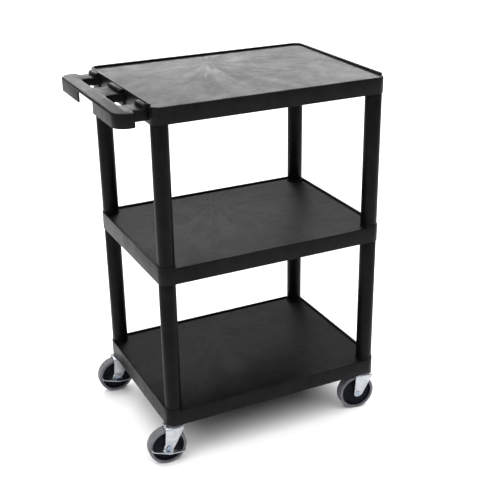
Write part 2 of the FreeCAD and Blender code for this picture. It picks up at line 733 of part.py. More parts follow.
def brake(corner):
    """Rocking foot pedal on the axle, and the shoe washer whose pins it pushes."""
    pedal = new_body(f"brake_pedal_{corner}")
    tab = new_sketch(pedal, "XZ", "tab_face")
    plate_bottom = "-pedal_drop - brake_sheet"
    add_outline(tab, [
        ("-brake_tab_radius", plate_bottom),
        ("brake_tab_radius", plate_bottom),
        ("brake_tab_radius", "brake_tab_radius", "brake_tab_corner"),
        ("-brake_tab_radius", "brake_tab_radius", "brake_tab_corner"),
    ])
    grow(pedal, tab, "brake_sheet")
    plate = new_sketch(pedal, "XY", plate_bottom)
    end_edge = "-tab_face - pedal_end_width"
    add_outline(plate, [
        ("-pedal_half_length", "-tab_face"),
        ("-pedal_half_length", end_edge),
        ("0", "-tab_face - pedal_middle_width"),
        ("pedal_half_length", end_edge),
        ("pedal_half_length", "-tab_face"),
    ])
    grow(pedal, plate, "brake_sheet")
    for side in (-1, 1):
        tip = new_sketch(pedal, "XY", "-pedal_drop")
        outer = f"{side} * pedal_half_length"
        inner = f"{side} * (pedal_half_length - brake_sheet)"
        add_outline(tip, rectangle(inner, outer, end_edge, "-tab_face"))
        grow(pedal, tip, "pedal_tip_height")
    hole = new_sketch(pedal, "XZ", "tab_face + brake_sheet")
    add_circle(hole, "0", "0", "axle_diameter / 2 + running_clearance")
    cut(pedal, hole, "brake_sheet", False)
    place_on_axle(pedal, corner, value("pedal_rest_tilt"))

    shoe = new_body(f"brake_shoe_{corner}")
    face = "fork_gap / 2 - brake_gap"
    washer = new_sketch(shoe, "XZ", f"{face} - shoe_thickness")
    add_circle(washer, "0", "0", "shoe_radius")
    add_circle(washer, "0", "0", "sleeve_diameter / 2 + running_clearance")
    grow(shoe, washer, "shoe_thickness")
    pins = new_sketch(shoe, "XZ", face)
    for side in (-1, 1):
        add_circle(pins, f"{side} * shoe_pin_circle", "0", "shoe_pin_diameter / 2")
    grow(shoe, pins, "fork_sheet + brake_gap")
    place_on_axle(shoe, corner)


# ---------------------------------------------------------------- assembly

def check_document():
    """Stop if any object failed or any sub-part has no sound shape."""
    for item in doc.Objects:
        if "Invalid" in item.State or "Error" in item.State:
            raise RuntimeError(f"{item.Label}: {item.State}")
    for item in sub_parts:
        if item.Shape.isNull() or not item.Shape.isValid():
            raise RuntimeError(f"{item.Label} has no sound shape")


def export_all():
    os.makedirs("parts", exist_ok=True)
    for item in sub_parts:
        item.Shape.exportStep(f"parts/{item.Label}.step")
        print(f"{item.Label}: {len(item.Shape.Solids)} solid(s), {item.Shape.Volume / 1000:.1f} cm3")


sizes = make_sheets()
shelf("bottom_shelf", "ground_clearance", has_pads=True, has_handle=False)
shelf("middle_shelf", "ground_clearance + shelf_pitch", has_pads=True, has_handle=False)
shelf("top_shelf", "ground_clearance + 2 * shelf_pitch", has_pads=False, has_handle=True)
for corner_name in CORNERS:
    leg_tube(f"lower_leg_{corner_name}", corner_name, "ground_clearance + pad_top")
    leg_tube(f"upper_leg_{corner_name}", corner_name, "ground_clearance + shelf_pitch + pad_top")
    stem_sleeve(f"stem_sleeve_{corner_name}", corner_name)
    caster_stem(corner_name)
    bearing_balls(corner_name)
    caster_fork(corner_name)
    axle_parts(corner_name)
    wheel(corner_name)
    if corner_name in BRAKED:
        brake(corner_name)
doc.recompute()
check_document()
export_all()
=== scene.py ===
# %% [markdown]
# # A rolling utility cart, piece by piece
# Three moulded shelves stand on eight leg tubes and four swivel casters. The CAD model is
# loaded first as a fixed frame: it says where every part is and which body it moves with.
# Each piece below takes its place from a CAD node's box, so nothing has to be fitted by eye.

# %% Load the frame
import math

import bmesh
import bpy
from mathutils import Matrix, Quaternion, Vector


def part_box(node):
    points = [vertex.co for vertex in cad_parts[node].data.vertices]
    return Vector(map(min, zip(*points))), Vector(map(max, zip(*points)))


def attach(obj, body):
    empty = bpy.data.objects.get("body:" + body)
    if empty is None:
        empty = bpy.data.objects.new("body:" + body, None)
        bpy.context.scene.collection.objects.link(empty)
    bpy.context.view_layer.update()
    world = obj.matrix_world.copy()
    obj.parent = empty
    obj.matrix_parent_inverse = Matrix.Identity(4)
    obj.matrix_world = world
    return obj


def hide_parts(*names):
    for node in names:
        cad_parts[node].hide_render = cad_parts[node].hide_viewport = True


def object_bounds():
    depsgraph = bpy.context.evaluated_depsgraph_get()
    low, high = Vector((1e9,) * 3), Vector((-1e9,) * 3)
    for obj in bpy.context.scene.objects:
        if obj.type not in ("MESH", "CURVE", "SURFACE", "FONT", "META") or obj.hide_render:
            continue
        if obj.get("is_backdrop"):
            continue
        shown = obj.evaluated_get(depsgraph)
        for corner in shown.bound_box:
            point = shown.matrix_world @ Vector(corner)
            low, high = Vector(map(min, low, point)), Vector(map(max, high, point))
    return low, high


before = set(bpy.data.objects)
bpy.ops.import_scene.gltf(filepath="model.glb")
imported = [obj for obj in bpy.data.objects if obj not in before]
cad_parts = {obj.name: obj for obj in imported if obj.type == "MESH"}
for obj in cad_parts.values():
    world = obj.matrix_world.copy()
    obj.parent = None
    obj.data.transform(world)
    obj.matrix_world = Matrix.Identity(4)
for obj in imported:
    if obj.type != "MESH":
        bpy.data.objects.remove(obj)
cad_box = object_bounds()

# %% [markdown]
# ## Measures
# The cart was drawn in millimetres and Blender works in metres, so lengths below are written
# as millimetres times MM. The four corners are named as in the CAD model, each with the side
# of the cart it lies on, along X and then along Y. The handle is at the left, and the open
# front edge of the shelves is at the front.

# %% Units and corners
MM = 0.001
CORNERS = {"left_front": (-1, -1), "left_back": (-1, 1),
           "right_front": (1, -1), "right_back": (1, 1)}
BRAKED = ("left_front", "left_back")


def middle(node):
    low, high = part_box(node)
    return (low + high) / 2


def swivel_axis(corner):
    return middle("caster_stem_" + corner)


def swivel_angle(corner):
    """How far a caster stands turned from pointing straight back, in radians."""
    lead = swivel_axis(corner) - middle("tyre_" + corner)
    return math.atan2(lead.y, lead.x)


for corner in CORNERS:
    print(corner, "stands at", tuple(round(v, 3) for v in swivel_axis(corner).xy),
          "turned", round(math.degrees(swivel_angle(corner)), 1), "degrees")

# %% [markdown]
# ## Working by hand, in code
# Each piece starts from one primitive at its size and place. It is then shaped in edit mode,
# as by hand: choose faces, edges or points by where they are or which way they face, and
# extrude, inset or bevel what is chosen. Everything is deselected before a piece is begun,
# because an operator acts on all that is selected.

# %% Begin a piece, choose its parts, and shape them
def begin(name, primitive, turn=(0, 0, 0), size=(1, 1, 1), at=(0, 0, 0), **settings):
    """Add a primitive at its size and place, and open it with nothing chosen."""
    bpy.ops.object.select_all(action="DESELECT")
    primitive(location=at, rotation=turn, **settings)
    piece = bpy.context.object
    piece.name = piece.data.name = name
    piece.scale = size
    bpy.ops.object.transform_apply(location=True, rotation=True, scale=True)
    bpy.ops.object.mode_set(mode="EDIT")
    bpy.ops.mesh.select_all(action="DESELECT")
    return piece


def choose(kind, test):
    """Select what passes a test of its middle and of its normal or direction."""
    bpy.ops.mesh.select_mode(type=kind)
    bpy.ops.mesh.select_all(action="DESELECT")
    data = bpy.context.object.data
    mesh = bmesh.from_edit_mesh(data)
    for part in {"VERT": mesh.verts, "EDGE": mesh.edges, "FACE": mesh.faces}[kind]:
        if kind == "FACE":
            found = test(part.calc_center_bounds(), part.normal)
        elif kind == "EDGE":
            one, two = (end.co for end in part.verts)
            found = test((one + two) / 2, (two - one).normalized())
        else:
            found = test(part.co, part.normal)
        if found:
            part.select_set(True)
    mesh.select_flush_mode()
    bmesh.update_edit_mesh(data)


def close_to(value, target, slack=0.02 * MM):
    return abs(value - target) < slack


def pull(x, y, z):
    bpy.ops.mesh.extrude_region_move(TRANSFORM_OT_translate={"value": (x, y, z)})


def inset(width, depth=0.0, each=False):
    bpy.ops.mesh.inset(thickness=width, depth=depth, use_even_offset=True, use_individual=each)


def slice_at(point, normal):
    """Cut the chosen faces along a plane, and keep both sides."""
    bpy.ops.mesh.bisect(plane_co=point, plane_no=normal)


def soften(width, steps=2, angle=35):
    """Leave edit mode, round what is still sharp and shade the rest smooth."""
    bpy.ops.object.mode_set(mode="OBJECT")
    piece = bpy.context.object
    bevel = piece.modifiers.new("edges", "BEVEL")
    bevel.width = width
    bevel.segments = steps
    bevel.limit_method = "ANGLE"
    bevel.angle_limit = math.radians(angle)
    bpy.ops.object.modifier_apply(modifier=bevel.name)
    bpy.ops.object.shade_smooth_by_angle(angle=math.radians(angle))
    faces = len(piece.data.polygons)
    print(f"{piece.name}: {faces} faces, {tuple(round(v, 3) for v in piece.dimensions)} m")
    return piece


def join(whole, *others):
    """Make several shapes one piece. They overlap, as mouldings that grow into each other do."""
    bpy.ops.object.select_all(action="DESELECT")
    for other in (whole, *others):
        other.select_set(True)
    bpy.context.view_layer.objects.active = whole
    bpy.ops.object.join()
    return whole


def copy_of(model, name, at=(0, 0, 0), turn=0.0):
    """A copy with its own mesh, stood at a place and turned about Z."""
    bpy.ops.object.select_all(action="DESELECT")
    model.select_set(True)
    bpy.context.view_layer.objects.active = model
    bpy.ops.object.duplicate()
    piece = bpy.context.object
    piece.name = piece.data.name = name
    piece.location = at
    piece.rotation_euler = (0, 0, turn)
    bpy.ops.object.transform_apply(location=True, rotation=True, scale=True)
    return piece


def settle(piece, body, slot, finish, *nodes):
    """Give a piece its body, its finish and the CAD nodes it stands for."""
    piece.data.materials.clear()
    piece.data.materials.append(finish)
    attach(piece, body)
    if nodes:
        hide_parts(*nodes)


ADD_CUBE = bpy.ops.mesh.primitive_cube_add
ADD_TUBE = bpy.ops.mesh.primitive_cylinder_add
ADD_PLANE = bpy.ops.mesh.primitive_plane_add

# %% [markdown]
# ## Mixing finishes
# A finish is a node tree. Writing its sums as Python expressions keeps them readable: a Wire
# is one output of a node, and adding or multiplying wires adds the Math nodes that do it.
# Every other node comes from one method, which takes the node's type, its settings and what
# its sockets get. Patterns read object coordinates, which are the cart's own frame in metres.

# %% Wires and recipes
class Wire:
    """One output of a node; arithmetic on wires adds Math nodes."""

    def __init__(self, recipe, socket):
        self.recipe = recipe
        self.socket = socket

    def __add__(self, other):
        return self.recipe.maths("ADD", self, other)

    def __radd__(self, other):
        return self.recipe.maths("ADD", other, self)

    def __sub__(self, other):
        return self.recipe.maths("SUBTRACT", self, other)

    def __rsub__(self, other):
        return self.recipe.maths("SUBTRACT", other, self)

    def __mul__(self, other):
        return self.recipe.maths("MULTIPLY", self, other)

    def __rmul__(self, other):
        return self.recipe.maths("MULTIPLY", other, self)

    def __truediv__(self, other):
        return self.recipe.maths("DIVIDE", self, other)

    def __rtruediv__(self, other):
        return self.recipe.maths("DIVIDE", other, self)


class Recipe:
    """A material being mixed; what is the same all over is set on its shader at once."""

    def __init__(self, name, **uniform):
        self.material = bpy.data.materials.new(name)
        self.material.use_nodes = True
        self.tree = self.material.node_tree
        self.shader = self.tree.nodes["Principled BSDF"]
        for socket, number in uniform.items():
            self.shader.inputs[socket.replace("_", " ")].default_value = number
        self.place = self.node("ShaderNodeTexCoord", {}, {}, "Object")

    def node(self, kind, settings, sockets, output=0):
        made = self.tree.nodes.new(kind)
        for setting, wanted in settings.items():
            setattr(made, setting, wanted)
        for socket, given in sockets.items():
            if isinstance(given, Wire):
                self.tree.links.new(given.socket, made.inputs[socket])
            else:
                made.inputs[socket].default_value = given
        return Wire(self, made.outputs[output])

    def maths(self, operation, one, two=0.0):
        return self.node("ShaderNodeMath", {"operation": operation}, {0: one, 1: two})

    def noise(self, scale, detail=3.0, roughness=0.5, distortion=0.0, where=None):
        return self.node("ShaderNodeTexNoise", {}, {
            "Vector": where or self.place, "Scale": scale, "Detail": detail,
            "Roughness": roughness, "Distortion": distortion})

    def step(self, value, low, high, to_low=0.0, to_high=1.0):
        """Ease from one number to another as a value goes from low to high."""
        return self.node("ShaderNodeMapRange", {"interpolation_type": "SMOOTHSTEP"}, {
            "Value": value, "From Min": low, "From Max": high,
            "To Min": to_low, "To Max": to_high})

    def blend(self, factor, one, two):
        """Colour one where the factor is 0 and colour two where it is 1."""
        return self.node("ShaderNodeMix", {"data_type": "RGBA"},
                         {0: factor, 6: (*one, 1.0), 7: (*two, 1.0)}, 2)

    def bump(self, height, depth, strength=1.0):
        return self.node("ShaderNodeBump", {}, {
            "Height": height, "Distance": depth, "Strength": strength})

    def wear(self, colour, roughness=None, normal=None):
        """Lead what changes over the surface to the shader."""
        for socket, wire in (("Base Color", colour), ("Roughness", roughness), ("Normal", normal)):
            if wire is not None:
                self.tree.links.new(wire.socket, self.shader.inputs[socket])
        return self.material


# %% [markdown]
# ## Black structural foam
# The shelves are foamed polyethylene, injected at one gate near the back of the deck. The
# melt sets in streaks that fan out from the gate and in soft swirls, which show as bands of
# slightly different gloss, and the whole skin has a fine pebble grain. The streaks are noise
# laid out by direction from the gate: using the direction itself rather than an angle leaves
# no seam. Colour stays close to black, and roughness does most of the work.

# %% Finish for the shelves
GATE = (middle("bottom_shelf").x - 14 * MM, 0.138)


def moulded_foam(name):
    mix = Recipe(name, Specular_IOR_Level=0.08)
    x, y = (mix.node("ShaderNodeSeparateXYZ", {}, {0: mix.place}, letter) for letter in "XY")
    across = x - GATE[0]
    along = y - GATE[1]
    reach = mix.maths("SQRT", across * across + along * along) + 0.004
    fan = mix.node("ShaderNodeCombineXYZ", {}, {
        "X": across / reach, "Y": along / reach, "Z": reach * 0.8})
    streaks = mix.noise(9.0, 4.0, 0.6, 0.3, fan)
    swirls = mix.noise(9.0, 5.0, 0.62, 1.6)
    mottle = mix.noise(70.0, 4.0, 0.65, 0.4)
    pebble = mix.noise(620.0, 2.0, 0.5)
    near = mix.step(reach, 0.03, 0.34, 1.0, 0.35)
    flow = mix.step(streaks, 0.36, 0.66) * near
    cloud = mix.step(swirls, 0.35, 0.7)
    grain = mix.step(mottle, 0.35, 0.7)
    tone = flow * 0.35 + cloud * 0.35 + grain * 0.3
    colour = mix.blend(tone, (0.0015, 0.0015, 0.0016), (0.007, 0.007, 0.0073))
    roughness = 0.45 - flow * 0.10 - cloud * 0.06 - grain * 0.04
    height = pebble * 0.5 + mottle * 0.35 + streaks * near * 0.5
    return mix.wear(colour, roughness, mix.bump(height, 0.25 * MM, 0.9))


FOAM = moulded_foam("black_structural_foam")

# %% [markdown]
# ## Satin tube and black caster plastics
# The legs are extruded tube, smoother than the shelves: faint lines run down them from the
# die, and handling leaves small dull patches. The wheel hub is a harder, slightly bluish
# black plastic, and the sleeves that hold the caster stems are the same plastic unpolished.

# %% Finishes for tubes, hubs and sleeves
def drawn_plastic(name, dark, light, gloss, lines):
    mix = Recipe(name, Specular_IOR_Level=0.05)
    stretched = mix.node("ShaderNodeMapping", {}, {"Vector": mix.place, "Scale": (1.0, 1.0, 0.02)})
    die_lines = mix.noise(260.0, 2.0, 0.5, 0.0, stretched)
    patches = mix.noise(24.0, 4.0, 0.6, 0.5)
    scuffs = mix.step(mix.noise(130.0, 5.0, 0.7, 1.5), 0.60, 0.78)
    colour = mix.blend(mix.step(patches, 0.3, 0.75), dark, light)
    roughness = gloss + mix.step(patches, 0.35, 0.7) * 0.07 + scuffs * 0.10
    return mix.wear(colour, roughness, mix.bump(die_lines * lines + scuffs * 0.3, 0.05 * MM, 0.8))


TUBE = drawn_plastic("satin_black_tube", (0.003, 0.003, 0.003), (0.006, 0.006, 0.0062), 0.34, 0.8)
HUB = drawn_plastic("bluish_black_hub", (0.004, 0.0045, 0.007), (0.009, 0.010, 0.015), 0.36, 0.1)
SLEEVE = drawn_plastic("black_sleeve_plastic", (0.014, 0.014, 0.014), (0.022, 0.022, 0.022),
                       0.5, 0.1)

# %% [markdown]
# ## Zinc plate and steel
# The forks and pedals are pressed sheet with bright zinc plating: a metal with a faint cloudy
# variation from the bath, small scratches, and duller patches where it has been handled. The
# bolts and nuts are the same metal, a little smoother, with a darker, bluer colour that is
# painted shade, and the bearing balls smoother still.
# The swivel head is coloured much darker, which is painted shade from the shelf above it.

# %% Finishes for the metal parts
def plated(name, dark, light, gloss, scratch):
    mix = Recipe(name, Metallic=1.0)
    bath = mix.step(mix.noise(38.0, 4.0, 0.6, 0.8), 0.32, 0.72)
    brushed = mix.node("ShaderNodeMapping", {}, {"Vector": mix.place, "Scale": (1.0, 1.0, 0.12)})
    scratches = mix.step(mix.noise(420.0, 3.0, 0.6, 0.2, brushed), 0.55, 0.75)
    colour = mix.blend(bath, dark, light)
    roughness = gloss + bath * 0.08 + scratches * scratch
    return mix.wear(colour, roughness, mix.bump(scratches * 0.6 + bath * 0.4, 0.04 * MM, 0.7))


ZINC = plated("bright_zinc_plate", (0.36, 0.38, 0.41), (0.50, 0.515, 0.54), 0.26, 0.12)
# The bolts, nuts and axle sleeves get a darker, bluer colour, which is painted shade.
FASTENER_PAINTED_SHADE = plated("fastener_steel_painted_shade", (0.26, 0.32, 0.42), (0.42, 0.48, 0.58), 0.22, 0.10)
BALLS = plated("bearing_ball_steel", (0.55, 0.56, 0.58), (0.66, 0.67, 0.69), 0.12, 0.05)
# The swivel head's near-black colour is painted shade from the shelf above.
HEAD_PAINTED_SHADE = plated("head_steel_painted_shade", (0.06, 0.063, 0.07), (0.12, 0.125, 0.135), 0.42, 0.12)

# %% [markdown]
# ## Grey tyre
# The tyre is soft grey rubber. Rubber scatters most of its light, so it is rough, with a fine
# moulded grain and slightly darker dust in random patches.

# %% Finish for the tyres
def grey_rubber(name):
    mix = Recipe(name, Specular_IOR_Level=0.4)
    grain = mix.noise(900.0, 2.0, 0.5)
    smudge = mix.step(mix.noise(45.0, 5.0, 0.65, 0.9), 0.35, 0.72)
    colour = mix.blend(smudge, (0.095, 0.096, 0.106), (0.130, 0.132, 0.143))
    return mix.wear(colour, 0.66 - smudge * 0.12, mix.bump(grain, 0.12 * MM, 0.6))


RUBBER = grey_rubber("grey_rubber")

# %% [markdown]
# ## Camera, floor and light
# The cart is seen from in front and to the left, looking down on the shelves. A long lens
# keeps the uprights nearly parallel. The floor is almost white, and a broad, soft overhead
# sun and a dim white surrounding light it evenly. A long, narrow strip of light hangs behind
# the cart, a little above the top deck, so that the deck mirrors it at a shallow angle and
# looks light although it is black, while the decks below mirror the dark undersides. A weak
# light at the left opens the shadows on the handle's side.

# %% Camera
eye = bpy.data.objects.new("camera", bpy.data.cameras.new("camera"))
bpy.context.scene.collection.objects.link(eye)
eye.location = (middle("bottom_shelf").x - 1.02854, -2.17711, 1.49816)
eye.rotation_mode = "QUATERNION"
yaw, pitch, roll = (math.radians(a) for a in (-26.0636, 66.5199, -0.7555))
eye.rotation_quaternion = (Quaternion((0, 0, 1), yaw) @ Quaternion((1, 0, 0), pitch)
                           @ Quaternion((0, 0, 1), roll))
eye.data.lens = 70.397
eye.data.sensor_width = 36
bpy.context.scene.camera = eye

# %% Floor, surroundings and lights
def paper_white(name):
    mix = Recipe(name, Roughness=0.7, Specular_IOR_Level=0.2)
    faint = mix.noise(1.5, 3.0)
    return mix.wear(mix.blend(faint, (0.90, 0.90, 0.90), (0.94, 0.94, 0.94)))


bpy.ops.object.select_all(action="DESELECT")
ADD_PLANE(size=30.0, location=(0, 0, 0))
floor = bpy.context.object
floor.name = "floor"
floor.data.materials.append(paper_white("paper_white"))
floor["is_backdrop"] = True

world = bpy.data.worlds.new("studio")
bpy.context.scene.world = world
world.use_nodes = True
world.node_tree.nodes["Background"].inputs["Color"].default_value = (1.0, 1.0, 1.0, 1.0)
world.node_tree.nodes["Background"].inputs["Strength"].default_value = 0.18


def soft_light(name, at, towards, width, height, power):
    lamp = bpy.data.lights.new(name, "AREA")
    lamp.shape = "RECTANGLE"
    lamp.size = width
    lamp.size_y = height
    lamp.energy = power
    holder = bpy.data.objects.new(name, lamp)
    bpy.context.scene.collection.objects.link(holder)
    holder.location = at
    aim = Vector(towards) - Vector(at)
    holder.rotation_euler = aim.to_track_quat("-Z", "Y").to_euler()
    holder.visible_camera = False


soft_light("back_light", (0.47, 0.84, 1.22), (0.04, 0.0, 0.93), 1.9, 0.16, 9)
soft_light("left_light", (-3.2, -1.2, 1.6), (0.0, 0.0, 0.5), 1.0, 2.0, 14)
overhead = bpy.data.objects.new("overhead", bpy.data.lights.new("overhead", "SUN"))
overhead.data.energy = 5.6
overhead.data.angle = math.radians(110)
bpy.context.scene.collection.objects.link(overhead)
bpy.context.scene.view_settings.view_transform = "Standard"

# %% [markdown]
# ## A shelf
# A shelf is one moulding: a deck with a skirt all round, open and ribbed underneath, and a low
# lip at the back and both ends that stops things rolling off. It starts as a block. Its upright
# corners are bevelled round, the lip is raised from an inset of the top face, and the hollow
# is pushed up into the underside in two goes, first to the level of the ribs and then, cell by
# cell, to the underside of the deck, which leaves the ribs standing between the cells.

# %% The shell of a shelf
LENGTH, DEPTH, CORNER = 610 * MM, 444 * MM, 23 * MM
SKIRT, WALL, DECK = 41 * MM, 5 * MM, 6 * MM
LIP_HEIGHT, LIP_WIDTH, RIB, RIB_DEPTH = 5 * MM, 5.5 * MM, 3.5 * MM, 18 * MM


def on_rim(at):
    """Whether a point lies on the outside outline of a shelf."""
    beyond = Vector((max(abs(at.x) - (LENGTH / 2 - CORNER), 0),
                     max(abs(at.y) - (DEPTH / 2 - CORNER), 0)))
    return beyond.length > CORNER - 0.5 * MM


def shelf_shell(name):
    """A shelf with its underside at zero and its middle at the origin."""
    begin(name, ADD_CUBE, size=(LENGTH / 2, DEPTH / 2, SKIRT / 2), at=(0, 0, SKIRT / 2))
    choose("EDGE", lambda at, way: abs(way.z) > 0.9)
    bpy.ops.mesh.bevel(offset=CORNER, segments=10, affect="EDGES")
    front = CORNER - DEPTH / 2
    level = SKIRT - DECK - RIB_DEPTH
    choose("FACE", lambda at, way: way.z > 0.9)
    inset(LIP_WIDTH)
    choose("FACE", lambda at, way: way.z > 0.9 and not (close_to(at.x, 0) and close_to(at.y, 0)))
    slice_at((0, front, 0), (0, 1, 0))
    choose("FACE", lambda at, way: way.z > 0.9 and at.y > front
           and not (close_to(at.x, 0) and close_to(at.y, 0)))
    pull(0, 0, LIP_HEIGHT)
    choose("EDGE", lambda at, way: close_to(at.z, SKIRT) and close_to(way.z, 0, 0.01)
           and at.y < front and on_rim(at))
    bpy.ops.mesh.bevel(offset=3 * MM, segments=4, affect="EDGES")
    choose("FACE", lambda at, way: way.z < -0.9)
    inset(WALL)
    pull(0, 0, level)
    for share in (-1 / 4, 0, 1 / 4):
        choose("FACE", lambda at, way: way.z < -0.9 and close_to(at.z, level))
        slice_at((0, DEPTH * share, 0), (0, 1, 0))
    for share in (-1 / 3, -1 / 6, 0, 1 / 6, 1 / 3):
        choose("FACE", lambda at, way: way.z < -0.9 and close_to(at.z, level))
        slice_at((LENGTH * share, 0, 0), (1, 0, 0))
    choose("FACE", lambda at, way: way.z < -0.9 and close_to(at.z, level))
    inset(RIB / 2, each=True)
    pull(0, 0, RIB_DEPTH)
    return soften(1.2 * MM)


# %% [markdown]
# The legs need more than the shell gives them: a tubular boss under each corner takes the
# spigot of the leg below, and on the two lower shelves a raised round pad carries the leg
# above. Both are turned shapes, so each starts as a cylinder, is modelled once and is copied
# to the four corners. They run a little way into the shell, so that no two faces lie in one
# plane.

# %% Bosses and pads
BOSS, SOCKET, PAD = 19.6 * MM, 16.6 * MM, 22.7 * MM


def boss_model():
    begin("boss", ADD_TUBE, vertices=40, radius=BOSS, depth=SKIRT - DECK,
          at=(0, 0, (SKIRT - DECK) / 2 + 0.4 * MM))
    choose("FACE", lambda at, way: way.z < -0.9)
    inset(BOSS - SOCKET)
    pull(0, 0, 22 * MM)
    return soften(0.6 * MM)


def pad_model():
    rise = LIP_HEIGHT + 1.8 * MM
    begin("pad", ADD_TUBE, vertices=48, radius=PAD, depth=rise,
          at=(0, 0, SKIRT - 2 * MM + rise / 2))
    choose("FACE", lambda at, way: way.z > 0.9)
    bpy.ops.mesh.bevel(offset=1.4 * MM, segments=3, affect="EDGES")
    return soften(0.3 * MM, 1)


def at_corners(model):
    """The model copied to the four corners of a shelf; the model itself goes."""
    copies = [copy_of(model, f"{model.name}_{corner}",
                      (side_x * (LENGTH / 2 - CORNER), side_y * (DEPTH / 2 - CORNER), 0))
              for corner, (side_x, side_y) in CORNERS.items()]
    bpy.data.objects.remove(model)
    return copies


plain_shelf = join(shelf_shell("plain_shelf"), *at_corners(boss_model()))
loading_shelf = join(copy_of(plain_shelf, "loading_shelf"), *at_corners(pad_model()))
print("faces of a shelf with pads:", len(loading_shelf.data.polygons))

# %% [markdown]
# ## The push handle
# The handle is part of the top moulding: a flat tray with a skirt, rounded lobes, and two
# finger slots beside the shelf. Its plan has re-entrant corners and holes, which are easy to
# describe as one block cut by others, so the blocks are modelled with rounded corners and then
# joined and cut with Boolean modifiers. The block has its top edges rounded before it is cut.

# %% Blocks for the handle
SIDE = -LENGTH / 2
GRIP, NECK_REACH, HALF, NECK_HALF = 83 * MM, 35 * MM, 215 * MM, 194 * MM
TOP, HANDLE_DEPTH = SKIRT - 6 * MM, 34 * MM


def handle_block(name, margin, low, high, root, rounding):
    """The handle's plan, drawn in by a margin, from one level to another."""
    left = SIDE - GRIP + margin
    right = SIDE - NECK_REACH - margin
    begin(name, ADD_CUBE, size=((right - left) / 2, HALF - margin, (high - low) / 2),
          at=((left + right) / 2, 0, (low + high) / 2))
    for side in (-1, 1):
        choose("FACE", lambda at, way: way.x > 0.9)
        slice_at((0, side * (NECK_HALF - margin), 0), (0, 1, 0))
    choose("FACE", lambda at, way: way.x > 0.9 and abs(at.y) < NECK_HALF / 2)
    pull(SIDE + root - right, 0, 0)
    bpy.ops.mesh.select_all(action="SELECT")
    bpy.ops.mesh.dissolve_limited(angle_limit=0.01)
    choose("EDGE", lambda at, way: abs(way.z) > 0.9 and close_to(at.x, left))
    bpy.ops.mesh.bevel(offset=32 * MM - margin, segments=10, affect="EDGES")
    choose("EDGE", lambda at, way: abs(way.z) > 0.9 and close_to(at.x, right)
           and abs(at.y) > HALF - margin - 1 * MM)
    bpy.ops.mesh.bevel(offset=9 * MM - margin, segments=5, affect="EDGES")
    choose("EDGE", lambda at, way: abs(way.z) > 0.9 and close_to(at.x, right)
           and close_to(abs(at.y), NECK_HALF - margin))
    bpy.ops.mesh.bevel(offset=3 * MM, segments=4, affect="EDGES")
    if rounding:
        choose("EDGE", lambda at, way: close_to(at.z, high) and close_to(way.z, 0, 0.01)
               and at.x < SIDE + root - 0.5 * MM)
        bpy.ops.mesh.bevel(offset=rounding, segments=4, affect="EDGES")
    bpy.ops.object.mode_set(mode="OBJECT")
    return bpy.context.object


def slot_block(name, side, margin, low, high, root):
    """A finger slot's plan with a margin round it."""
    left, right = SIDE - 49 * MM - margin, SIDE + root
    near, far = 42 * MM - margin, 141 * MM + margin
    begin(name, ADD_CUBE, size=((right - left) / 2, (far - near) / 2, (high - low) / 2),
          at=((left + right) / 2, side * (near + far) / 2, (low + high) / 2))
    choose("EDGE", lambda at, way: abs(way.z) > 0.9 and close_to(at.x, left))
    bpy.ops.mesh.bevel(offset=12 * MM + margin, segments=6, affect="EDGES")
    bpy.ops.object.mode_set(mode="OBJECT")
    return bpy.context.object


def plain_block(name, left, right, half, low, high):
    begin(name, ADD_CUBE, size=((right - left) / 2, half, (high - low) / 2),
          at=((left + right) / 2, 0, (low + high) / 2))
    choose("EDGE", lambda at, way: abs(way.x) > 0.9)
    bpy.ops.mesh.bevel(offset=1.5 * MM, segments=3, affect="EDGES")
    bpy.ops.object.mode_set(mode="OBJECT")
    return bpy.context.object


def carve(piece, how, *tools):
    """Add or cut away other blocks, which then go."""
    bpy.ops.object.select_all(action="DESELECT")
    piece.select_set(True)
    bpy.context.view_layer.objects.active = piece
    for tool in tools:
        step = piece.modifiers.new(how.lower(), "BOOLEAN")
        step.operation = how
        step.solver = "EXACT"
        step.object = tool
        bpy.ops.object.modifier_apply(modifier=step.name)
        bpy.data.objects.remove(tool)
    return piece


# %% Carve the handle
bottom = TOP - HANDLE_DEPTH
handle = handle_block("handle", 0.0, bottom, TOP, 3.5 * MM, 5 * MM)
hollow = handle_block("hollow", 4 * MM, bottom - 1 * MM, TOP - 5 * MM, -4 * MM, 0.0)
carve(handle, "DIFFERENCE", hollow)
rims = [slot_block("rim", side, 3 * MM, TOP - 19 * MM, TOP - 2.5 * MM, 2.5 * MM)
        for side in (-1, 1)]
carve(handle, "UNION", *rims)
slots = [slot_block("slot", side, 0.0, bottom - 2 * MM, TOP + 2 * MM, 0.4 * MM)
         for side in (-1, 1)]
carve(handle, "DIFFERENCE", *slots)
notch = plain_block("notch", SIDE - GRIP - 3 * MM, SIDE - GRIP + 5 * MM, 56 * MM,
                    bottom - 2 * MM, TOP - 6.5 * MM)
neck_step = plain_block("neck_step", SIDE - NECK_REACH - 2 * MM, SIDE - 0.2 * MM,
                        NECK_HALF + 1 * MM, bottom - 2 * MM, bottom + 7 * MM)
carve(handle, "DIFFERENCE", notch, neck_step)
bpy.context.view_layer.objects.active = handle
bpy.ops.object.mode_set(mode="EDIT")
bpy.ops.mesh.select_all(action="SELECT")
bpy.ops.mesh.remove_doubles(threshold=0.02 * MM)
soften(0.9 * MM)

# %% [markdown]
# The bar between the two slots carries four low ribs for the thumb. Each is a short rounded
# bar, modelled once and set side by side, let into the top of the handle.

# %% Thumb ribs
RIB_START = SIDE - 9 * MM
begin("thumb_rib", ADD_CUBE, size=(1.2 * MM, 21 * MM, 1.0 * MM), at=(RIB_START, 0, TOP - 0.1 * MM))
choose("FACE", lambda at, way: way.z > 0.9)
bpy.ops.transform.resize(value=(0.5, 0.95, 1.0), center_override=(RIB_START, 0, TOP))
thumb_rib = soften(0.4 * MM, 2, 25)
thumb_ribs = [copy_of(thumb_rib, f"thumb_rib_{number}", (-step * MM, 0, 0))
              for number, step in enumerate((5, 11, 17, 23))]
bpy.data.objects.remove(thumb_rib)

